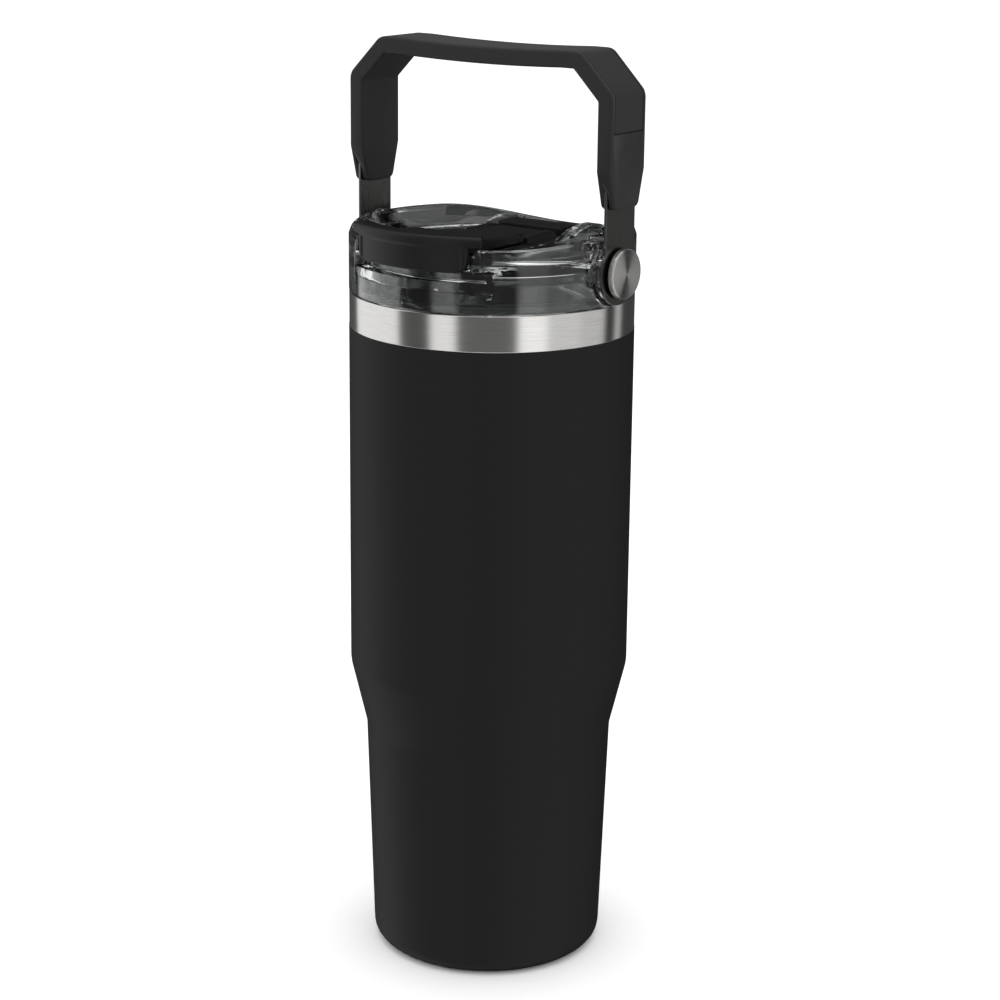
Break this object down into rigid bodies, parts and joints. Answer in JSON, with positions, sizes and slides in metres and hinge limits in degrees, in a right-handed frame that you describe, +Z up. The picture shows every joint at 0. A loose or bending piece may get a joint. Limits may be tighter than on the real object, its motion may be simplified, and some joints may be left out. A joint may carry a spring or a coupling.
{
  "type": "insulated travel mug",
  "caption": "Double-walled steel travel mug with a narrow cup-holder base, a clear screw lid, a flip-up sip cap and a U-shaped carrying bail.",
  "frame": {"origin": "centre of the foot ring, on the surface that the mug stands on", "axes": "+Z up along the mug, X along the bail's pivot axis, -Y towards the sip cap's front flange"},
  "size_m": [0.1034, 0.093, 0.3021],
  "materials": {
    "powder_coat": "matte black powder coat, bare brushed steel band at the mouth",
    "bare_steel": "brushed round the axis",
    "stamped_steel": "satin, as stamped",
    "strap_steel": "satin, brushed along the strap",
    "spun_steel": "spun, fine rings round the centre",
    "clear_plastic": "clear, polished",
    "black_plastic": "fine moulded matte",
    "soft_grip": "soft-touch matte",
    "silicone": "matte silicone",
    "nylon": "matte",
    "insert_steel": "turned"
  },
  "bodies": {
    "mug": {"outer_shell": "powder_coat", "inner_liner": "bare_steel", "base_plate": "stamped_steel", "vacuum_cap": "stamped_steel"},
    "gasket": {"lid_gasket": "silicone"},
    "lid": {"lid_cover": "clear_plastic", "lid_plug": "clear_plastic", "vent_valve": "silicone", "cap_cradle": "black_plastic", "cap_pin": "stamped_steel", "pivot_screw_right": "spun_steel", "pivot_screw_left": "spun_steel", "pivot_washer_right": "nylon", "pivot_washer_left": "nylon", "pivot_insert_right": "insert_steel", "pivot_insert_left": "insert_steel"},
    "cap": {"flip_cap": "black_plastic", "sip_seal": "silicone"},
    "bail": {"bail_strap": "strap_steel", "bail_grip": "soft_grip", "grip_pad": "soft_grip"}
  },
  "joints": [
    {"name": "lid_lift", "type": "slide", "parent": "mug", "child": "gasket", "axis": [0, 0, 1], "range_m": [0, 0.06]},
    {"name": "lid_turn", "type": "hinge", "parent": "gasket", "child": "lid", "pos_m": [0, 0, 0.2237], "axis": [0, 0, 1], "range_deg": [0, 270]},
    {"name": "cap_flip", "type": "hinge", "parent": "lid", "child": "cap", "pos_m": [0, 0.0085, 0.2386], "axis": [-1, 0, 0], "range_deg": [0, 100]},
    {"name": "bail_swing", "type": "hinge", "parent": "lid", "child": "bail", "pos_m": [0, 0, 0.2343], "axis": [1, 0, 0], "range_deg": [-120, 120]}
  ]
}
